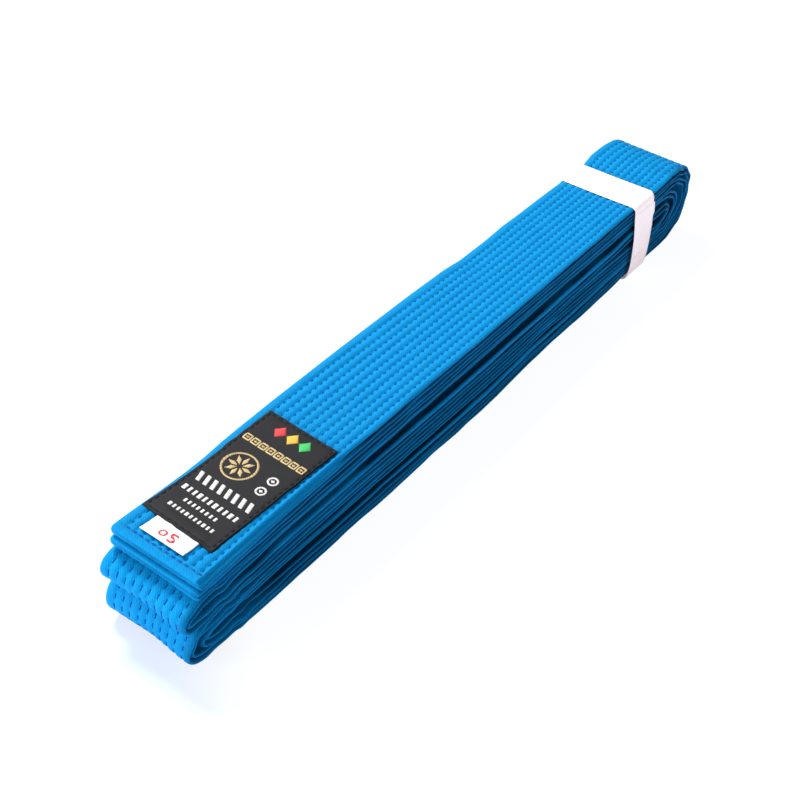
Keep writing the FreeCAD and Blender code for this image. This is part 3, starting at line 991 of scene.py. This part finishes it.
def label_place(u, v, rise):
    """A point over the label: u from its near edge, v from its middle, rise over its upper face."""
    u, v = u + 0 * v, v + 0 * u
    cos, sin = math.cos(LABEL_TURN), math.sin(LABEL_TURN)
    ahead = u - LABEL_LENGTH / 2
    edge = np.minimum(np.minimum(u, LABEL_LENGTH - u), LABEL_WIDTH / 2 - np.abs(v))
    near_edge = smooth_step(1 - edge / 3)
    v = v + near_edge * wander(u, 2.6, 0.16, 304) * np.sign(v)
    ahead = ahead + near_edge * wander(v, 2.6, 0.16, 305) * np.sign(ahead)
    bow = 0.28 * np.sin(math.pi * u / LABEL_LENGTH) * wander(v, 21, 1.0, 301)
    x = LABEL_X + ahead * cos - v * sin
    y = LABEL_Y + ahead * sin + v * cos + bow
    tucked = smooth_step((7 - u) / 4) * smooth_step((TAG_HALF + 2.5 - np.abs(y - TAG_Y)) / 2.5)
    seam = np.exp(-(((edge - LABEL_SEAM) / 0.5) ** 2))
    pull = 0.10 + 0.05 * np.cos(2 * math.pi * (u + v) / LABEL_STITCH)
    z = cloth_top(x) + LABEL_BASE + LABEL_THICKNESS + wander(u, 9, 0.06, 302) + wander(v, 7, 0.06, 303)
    z = z - seam * pull + TAG_THICKNESS * tucked
    round_off = np.clip(1 - edge / 0.45, 0, 1)
    z = z - 0.32 * (1 - np.sqrt(1 - round_off**2 * 0.98))
    return settled(np.stack([x, y, z + rise], -1))


def edged(length, step):
    """Grid lines from 0 to length, closer together at both ends."""
    ends = np.array([0.0, 0.1, 0.25, 0.5, 0.85, 1.2, 1.6])
    middle = np.linspace(2.1, length - 2.1, int(round((length - 4.2) / step)) + 1)
    return np.concatenate([ends, middle, length - ends[::-1]])


def shell_faces(rows, columns, joined=False):
    """Faces of two layers of grid points, the second beneath the first, and of the rim between them.
    Joined: the last row is followed by the first."""
    count = rows * columns
    grid = np.arange(count).reshape(rows, columns)
    if joined:
        grid = np.vstack([grid, grid[:1]])
        edges = [(grid[:-1, 0], grid[1:, 0]), (grid[1:, -1], grid[:-1, -1])]
    else:
        rim = np.concatenate([grid[:, 0], grid[-1, 1:], grid[-2::-1, -1], grid[0, -2:0:-1]])
        edges = [(rim, np.roll(rim, -1))]
    over = np.stack([grid[:-1, :-1], grid[1:, :-1], grid[1:, 1:], grid[:-1, 1:]], -1).reshape(-1, 4)
    sides = [np.stack([there, here, here + count, there + count], -1) for here, there in edges]
    return np.vstack([over, over[:, [0, 3, 2, 1]] + count, *sides]).tolist()


def sheet_mesh(first, second, thickness, place):
    """A closed sheet over the grid of first by second, its upper face where place() says."""
    u, v = np.meshgrid(first, second, indexing="ij")
    places = np.vstack([place(u, v, 0 * u - down).reshape(-1, 3) for down in (0, thickness)])
    cloth = np.stack([u, v, 0 * u], -1).reshape(-1, 3)
    return places, shell_faces(*u.shape), np.vstack([cloth, cloth])


def label(material):
    grid_u = edged(LABEL_LENGTH, 0.9)
    grid_v = edged(LABEL_WIDTH, 0.9) - LABEL_WIDTH / 2
    made = sheet_mesh(grid_u, grid_v, LABEL_THICKNESS, label_place)
    piece = make_piece("label_cloth", made, "cloth", material, "woven_label", "free_end")


def label_sewing(material):
    """Black stitches all round the label, near its edge."""
    starts, ends = [], []
    u_low, u_high = LABEL_SEAM, LABEL_LENGTH - LABEL_SEAM
    v_high = LABEL_WIDTH / 2 - LABEL_SEAM
    corners = np.array([(u_low, -v_high), (u_high, -v_high), (u_high, v_high), (u_low, v_high)])
    for here, there in zip(corners, np.roll(corners, -1, axis=0)):
        count = int(round(np.linalg.norm(there - here) / LABEL_STITCH))
        step = (there - here) / count
        starts += [here + step * (k + 0.14) for k in range(count)]
        ends += [here + step * (k + 0.86) for k in range(count)]
    bits = thread_bits(starts, ends, 0.24, 0.1, 0.3, label_place)
    make_piece("label_sewing", bits, "strand", material, "label_stitching", "free_end")


SATIN_PITCH = 0.36
DIAMONDS = {"red": (59.8, 6), "yellow": (59.8, 0), "green": (59.8, -6)}
SQUARES_U, SQUARES_V = 49.9, 13.0 - 3.72 * np.arange(8)
SMALL_RINGS = [(38.8, -9.3), (32.4, -9.3)]
ROSETTE = np.array([36.6, 5.0])
BLOCK_ROWS = [                 # u, first v, pitch, how many, length, width, width of every so many, slant
    (23.6, 12.1, 3.46, 8, 4.6, 1.9, 1.9, 1, 0.7), (16.3, 12.2, 2.45, 11, 2.5, 1.3, 1.8, 3, 0.0),
    (11.6, 7.2, 2.05, 8, 1.7, 1.1, 1.1, 1, 0.0), (6.9, 9.9, 2.0, 11, 1.7, 1.1, 1.5, 4, 0.0),
]


def satin(shapes):
    """Starts and ends of side by side threads that fill shapes: (corners (u, v), are they along u)."""
    starts, ends = [], []
    for polygon, along_u in shapes:
        polygon = np.asarray(polygon, float)[:, ::-1 if along_u else 1]
        low, high = polygon[:, 0].min(), polygon[:, 0].max()
        count = max(1, int(round((high - low) / SATIN_PITCH)))
        for k in range(count):
            level = low + (high - low) * (k + 0.5) / count
            crossings = sorted(a[1] + (b[1] - a[1]) * (level - a[0]) / (b[0] - a[0])
                               for a, b in zip(polygon, np.roll(polygon, -1, axis=0))
                               if (a[0] <= level) != (b[0] <= level))
            for begin, finish in zip(crossings[::2], crossings[1::2]):
                if finish - begin > 0.25:
                    starts.append((begin, level) if along_u else (level, begin))
                    ends.append((finish, level) if along_u else (level, finish))
    return starts, ends


def rectangle(u, v, length, width, slant=0.0):
    """Corners of a rectangle whose middle is at (u, v). Slant leans it over, in mm."""
    return [(u - length / 2, v - width / 2 - slant), (u + length / 2, v - width / 2 + slant),
            (u + length / 2, v + width / 2 + slant), (u - length / 2, v + width / 2 - slant)]


def diamond(u, v, length, width):
    return [(u - length / 2, v), (u, v - width / 2), (u + length / 2, v), (u, v + width / 2)]


def ring_pieces(u, v, radius, width, count):
    """A ring as a band of short wedges, to be filled along u."""
    made = []
    for k in range(count):
        one, two = (2 * math.pi * (k + step) / count for step in (0.0, 1.02))
        turns = ((radius, one), (radius, two), (radius + width, two), (radius + width, one))
        made.append(([(u + r * math.cos(a), v + r * math.sin(a)) for r, a in turns], True))
    return made


def label_patterns():
    """The label's plain pattern: by colour, its shapes as (corners, are its threads along u)."""
    made = {name: [(diamond(*middle, 6.6, 6.0), False)] for name, middle in DIAMONDS.items()}
    gold = []
    for v in SQUARES_V:
        for step in (-1.35, 1.35):
            gold.append((rectangle(SQUARES_U + step, v, 0.55, 3.1), False))
            gold.append((rectangle(SQUARES_U, v + step, 3.2, 0.55), True))
        gold.append((diamond(SQUARES_U, v, 1.5, 1.5), True))
    gold += ring_pieces(*ROSETTE, 6.4, 0.8, 28)
    for angle in np.arange(8) * math.pi / 4:
        out = np.array([math.cos(angle), math.sin(angle)])
        side = np.array([-out[1], out[0]])
        petal = [ROSETTE + out * far + side * aside for far, aside in ((1, 0), (3.2, 1), (5.6, 0), (3.2, -1))]
        gold.append((petal, abs(out[0]) < 0.5))
    white = []
    for u, v in SMALL_RINGS:
        white += ring_pieces(u, v, 1.5, 0.75, 14) + [(diamond(u, v, 1.7, 1.7), True)]
    for u, v, pitch, count, length, width, wider, every, slant in BLOCK_ROWS:
        white += [(rectangle(u, v - pitch * k, length, width if k % every else wider, slant), False)
                  for k in range(count)]
    return {**made, "gold": gold, "white": white}


MARK_COLOURS = {
    "red": ((0.70, 0.03, 0.04, 1), (0.40, 0.01, 0.02, 1)),
    "yellow": ((0.85, 0.50, 0.04, 1), (0.55, 0.28, 0.02, 1)),
    "green": ((0.03, 0.55, 0.12, 1), (0.01, 0.32, 0.06, 1)),
    "gold": ((0.62, 0.47, 0.22, 1), (0.36, 0.25, 0.09, 1)),
    "white": ((0.80, 0.79, 0.76, 1), (0.55, 0.54, 0.52, 1)),
}


def label_marks():
    for name, shapes in label_patterns().items():
        bits = thread_bits(*satin(shapes), 0.2, 0.03, 0.12, label_place)
        material = mark_material(f"mark_{name}", *MARK_COLOURS[name])
        make_piece(f"label_mark_{name}", bits, "cloth", material, body="free_end")


def tag_place(u, v, rise):
    """A point over the size tag: u from its root under the label, v from its middle."""
    u, v = u + 0 * v, v + 0 * u
    x = TAG_ROOT - u
    free = np.clip(u - TAG_TUCK, 0, None)
    curl = 0.012 * free**2 + 0.10 * smooth_step(free / 3) * np.cos(v / 4.5)
    z = cloth_top(x) + 0.08 + TAG_THICKNESS + curl * smooth_step(free / 2)
    return settled(np.stack([x, TAG_Y + v + 0.02 * free, z + rise], -1))


def size_tag(material):
    length = TAG_ROOT - tag_low.x
    grid_v = np.linspace(-TAG_HALF, TAG_HALF, 46)
    made = turned_inside_out(sheet_mesh(np.linspace(0, length, 30), grid_v, TAG_THICKNESS, tag_place))
    piece = make_piece("size_tag_ribbon", made, "cloth", material, "size_tag")
    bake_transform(piece)


FIVE = [(1.0, 1.7), (-1.1, 1.7), (-1.1, 0.25), (0.3, 0.35), (1.05, -0.5), (0.5, -1.5), (-1.1, -1.6)]


def tag_mark():
    """A plain numeral for the belt's size, with a small ring before it."""
    middle_u = TAG_TUCK + 3.9
    starts, ends = satin(ring_pieces(middle_u, 2.4, 0.95, 0.7, 12))
    for here, there in zip(FIVE, FIVE[1:]):
        for made, (x, z) in ((starts, here), (ends, there)):
            made += [(middle_u - z * 1.15 + step, -2.0 - x * 1.15 - step) for step in (-0.3, -0.1, 0.1, 0.3)]
    bits = turned_inside_out(thread_bits(starts, ends, 0.2, 0.04, 0.1, tag_place))
    material = mark_material("tag_red", (0.75, 0.02, 0.05, 1), (0.5, 0.01, 0.03, 1))
    make_piece("size_tag_numeral", bits, "cloth", material, body="size_tag")


# ---------------------------------------------------------------- the paper band

PAPER = 0.22
BAND_CORNERS = [(1, 0, 2.0), (1, 1, 1.8), (-1, 1, 2.3), (-1, 0, 3.0)]      # y side, is it at the top, radius
BAND_BULGE = [(0, 0.1), (3, 0.5), (8, 1.3), (14, 1.6), (24, 1.65), (30, 1.1), (36, 0.3), (41, 0.0)]
BAND_LOOSE = (0.8, 0.4)        # mm outwards at the closed side, mm up at the top's closed edge


def band_loop():
    """The band's inner outline as (y, z) round the bundle, with its outward directions."""
    half = -band_low.y - PAPER
    low, high = band_low.z + PAPER, band_high.z - PAPER - 0.06
    points = []
    for (side, up, radius), start in zip(BAND_CORNERS, (-90, 0, 90, 180)):
        centre = np.array([side * (half - radius), high - radius if up else low + radius])
        for angle in np.radians(np.linspace(start, start + 90, 9)):
            out = np.array([math.cos(angle), math.sin(angle)])
            points.append(np.concatenate([centre + radius * out, out]))
    made = []
    for here, there in zip(points, points[1:] + points[:1]):
        steps = max(1, int(math.dist(here[:2], there[:2]) / 1.6))
        made += [here + (there - here) * step / steps for step in range(steps)]
    made = np.array(made)
    return made[:, :2], made[:, 2:]


def band_strip(material):
    """The paper strip round the bundle, with its bulges. Gives its outer face on the open side."""
    loop, outward = band_loop()
    around = np.concatenate([[0], np.cumsum(np.linalg.norm(np.diff(loop, axis=0), axis=1))])[:, None]
    xs = np.linspace(band_low.x, band_high.x, 15)
    across = (xs - BAND_MIDDLE) / (band_high.x - BAND_MIDDLE)
    out_y, out_z, loop_y, loop_z = (values[:, None] for values in (*outward.T, *loop.T))
    side = np.abs(out_y) ** 4
    top = smooth_step((out_z - 0.6) / 0.3)
    dent = side * (wander(around, 6.5, 0.10, 401) + wander(around, 17, 0.12, 402))
    dent = dent * (0.6 + 0.4 * across**2) - top * 0.1 * across**8 - 0.1 * side
    open_side = (out_y < 0) * np.interp(loop_z, *zip(*BAND_BULGE))
    closed_side = (out_y > 0) * (2.2 * np.sin(math.pi * loop_z / TOP)).clip(0.5, 1) * BAND_LOOSE[0]
    taken_in = smooth_step(-out_y) * (0.9 + 1.6 * smooth_step(1 - loop_z / TOP))
    x = xs + wander(around, 22, 0.14, 403) - taken_in * (across + 1) / 2
    shells = []
    for lift_off in (PAPER, 0.0):
        offset = dent + (open_side + closed_side) * np.abs(out_y) + lift_off
        y, z = loop_y + out_y * offset, loop_z + out_z * offset
        z = z + BAND_LOOSE[1] * openness(-y) ** 2 * np.clip(z / TOP, 0, 1)
        shells.append(np.stack([x, y, z], -1))
    paper = np.stack(np.broadcast_arrays(xs, around, 0), -1).reshape(-1, 3)
    made = (np.array(shells).reshape(-1, 3), shell_faces(*x.shape, joined=True), np.vstack([paper, paper]))
    make_piece("band_strip", made, "paper", material, "paper_band", "band")
    return shells[0][outward[:, 0] < -0.9][::-1]


LAP_TURN = math.radians(2.0)
LAP_BACK = (3.6, 1.2)          # mm by which its far edge stands back: below the top, and all along


def band_lap_end(material, side):
    """The strip's outer end, glued down a little askew on the open side, whose outer face is given."""
    middle_x, middle_z = (lap_low.x + lap_high.x) / 2, (lap_low.z + lap_high.z) / 2
    width, height = band_high.x - band_low.x, lap_high.z - lap_low.z - 0.6
    middle = side[:, side.shape[1] // 2]

    def place(u, v, rise):
        x = middle_x + u * math.cos(LAP_TURN) + v * math.sin(LAP_TURN)
        z = middle_z - u * math.sin(LAP_TURN) + v * math.cos(LAP_TURN)
        y = np.interp(z, middle[:, 2], middle[:, 1])
        inside = np.minimum(height / 2 - np.abs(v), width / 2 + u)
        low_far = smooth_step((u - width / 2 + 5) / 5) * (1 - smooth_step((v - height / 2 + 9) / 4))
        x = x - LAP_BACK[0] * low_far - LAP_BACK[1] * smooth_step((u + width / 2) / width)
        step = 0.03 + 0.05 * smooth_step(inside / 3) + 0.1 * smooth_step((u - width / 2 + 2) / 2)
        return np.stack([x, y - step - rise, z], -1)

    grid_u, grid_v = (np.linspace(-size / 2, size / 2, count) for size, count in ((width, 20), (height, 24)))
    made = sheet_mesh(grid_u, grid_v, PAPER * 0.6, place)
    make_piece("band_glued_end", made, "paper", material, "band_lap", "band")


# ---------------------------------------------------------------- floor, light and camera

FLOOR_COLOUR = (0.45, 0.62, 0.85, 1)
# Painted light: the floor's glow for the camera, graded so that it hides most of the belt's shadow.
FLOOR_GLOW = 1.18
FLOOR_AHEAD = (1, -1.2, 0)     # the direction in which the glow grows
FLOOR_GLOW_SHARE = (-0.185, -0.12, 0.54, 0.80)     # from where to where it grows, in m, from what to what
FLOOR_FADE = (0.35, 0.75)      # from where to where it fades into the white backdrop, in m
WORLD_STRENGTH = 0.24
BACKDROP_STRENGTH = 1.1        # of the pale backdrop that the camera sees


def floor():
    """A pale floor. For the camera it glows near white with painted light, weaker towards the belt's near end
    and closed side, where its soft shadow shows, and stronger towards its open side, where the shadow is
    hidden.
    """
    bpy.ops.mesh.primitive_grid_add(x_subdivisions=8, y_subdivisions=8, size=24)
    plane = bpy.context.object
    plane.name = "floor"
    paint = Paint("pale_floor", Base_Color=FLOOR_COLOUR, Roughness=0.9)
    place = paint.tree.nodes.new("ShaderNodeTexCoord").outputs["Object"]
    ahead = paint.node("VectorMath", place, FLOOR_AHEAD, operation="DOT_PRODUCT")
    away = paint.node("VectorMath", place, operation="LENGTH")
    share = paint.math("MAXIMUM", paint.ramp(away, *FLOOR_FADE, 0, 1, kind="SMOOTHSTEP"),
                       paint.ramp(ahead, *FLOOR_GLOW_SHARE, kind="SMOOTHSTEP"))
    seen = paint.tree.nodes.new("ShaderNodeLightPath").outputs["Is Camera Ray"]
    glow = paint.node("Emission", None, FLOOR_GLOW)
    shown = paint.node("MixShader", paint.math("MULTIPLY", seen, share), paint.shader.outputs[0], glow)
    paint.put(paint.tree.nodes["Material Output"].inputs["Surface"], shown)
    plane.data.materials.append(paint.material)


def world():
    """Soft light from all round, and for the camera a pale backdrop."""
    made = bpy.data.worlds.new("studio")
    bpy.context.scene.world = made
    made.use_nodes = True
    tree = made.node_tree
    light = tree.nodes["Background"]
    light.inputs["Color"].default_value = (0.92, 0.96, 1.0, 1)
    light.inputs["Strength"].default_value = WORLD_STRENGTH
    shown = tree.nodes.new("ShaderNodeBackground")
    shown.inputs["Strength"].default_value = BACKDROP_STRENGTH
    mix = tree.nodes.new("ShaderNodeMixShader")
    path = tree.nodes.new("ShaderNodeLightPath")
    tree.links.new(path.outputs["Is Camera Ray"], mix.inputs["Fac"])
    tree.links.new(light.outputs[0], mix.inputs[1])
    tree.links.new(shown.outputs[0], mix.inputs[2])
    tree.links.new(mix.outputs[0], tree.nodes["World Output"].inputs["Surface"])


LIGHTS = {                     # direction it comes from, distance in m, size in m, power in W
    "key": ((0.18, 0.58, 0.80), 1.3, 0.35, 28),
    "end_fill": ((-0.86, 0.42, 0.22), 1.3, 0.6, 20.5),
    "side_fill": ((-0.30, -0.90, 0.30), 1.3, 0.8, 7),
}


def lights():
    target = Vector((0, 0, 0.02))
    for name, (direction, distance, size, power) in LIGHTS.items():
        data = bpy.data.lights.new(name, "AREA")
        data.shape = "DISK"
        data.size = size
        data.energy = power
        lamp = bpy.data.objects.new(name, data)
        lamp.location = target + Vector(direction).normalized() * distance
        lamp.rotation_euler = (target - lamp.location).to_track_quat("-Z", "Y").to_euler()
        bpy.context.scene.collection.objects.link(lamp)


# The camera, as if standing at the belt's label end and looking down along it.
CAMERA_AZIMUTH = math.radians(-54.74)
CAMERA_ELEVATION = math.radians(39.447)
CAMERA_ROLL = math.radians(1.842)
CAMERA_DISTANCE = 0.57925
CAMERA_TARGET = (-0.0265, 0, 0.01855)
CAMERA_ASIDE = (-0.00518, -0.006447)    # where it looks, to the right of and above the target
CAMERA_LENS = 62.68


def camera():
    turn, tilt, roll = CAMERA_AZIMUTH, CAMERA_ELEVATION, CAMERA_ROLL
    back = Vector((math.sin(turn) * math.cos(tilt), -math.cos(turn) * math.cos(tilt), math.sin(tilt)))
    right = Vector((math.cos(turn), math.sin(turn), 0))
    up = back.cross(right)
    target = Vector(CAMERA_TARGET) + right * CAMERA_ASIDE[0] + up * CAMERA_ASIDE[1]
    turned_right = right * math.cos(roll) + up * math.sin(roll)
    turned_up = up * math.cos(roll) - right * math.sin(roll)
    data = bpy.data.cameras.new("camera")
    data.lens = CAMERA_LENS
    data.sensor_width = 36
    data.clip_start = 0.01
    made = bpy.data.objects.new("camera", data)
    made.matrix_world = Matrix.LocRotScale(
        target + back * CAMERA_DISTANCE,
        Matrix((turned_right, turned_up, back)).transposed().to_quaternion(), None,
    )
    bpy.context.scene.collection.objects.link(made)
    bpy.context.scene.camera = made


# ---------------------------------------------------------------- the whole belt

satin_cloth = cover_material()
blue_thread = thread_material("blue_thread", PAINTED_SHADE_THREAD_BLUE, BLUE_DEEP)
violet_thread = thread_material("violet_thread", SEAM_VIOLET, (0.03, 0.09, 0.42, 1))
black_thread = thread_material("black_thread", (0.006, 0.006, 0.007, 1), (0.03, 0.03, 0.033, 1))
paper = paper_material()

cover("belt_cover_folded", "cover_folded_length", fold_parts(), satin_cloth, "bundle")
lift(cover("belt_cover_free_end", "cover_free_end", free_end_parts(), satin_cloth))
thread_rows(blue_thread)
lift(cross_seam("label_end_seam", "end_seam_label_end", violet_thread, True))
cross_seam("second_end_seam", "end_seam_second_end", violet_thread, False, "bundle")
interlining(interlining_material())
label(label_material())
label_sewing(black_thread)
label_marks()
size_tag(tag_material())
tag_mark()
band_lap_end(paper, band_strip(paper))

floor()
world()
lights()
camera()
bpy.context.scene.view_settings.view_transform = "Standard"
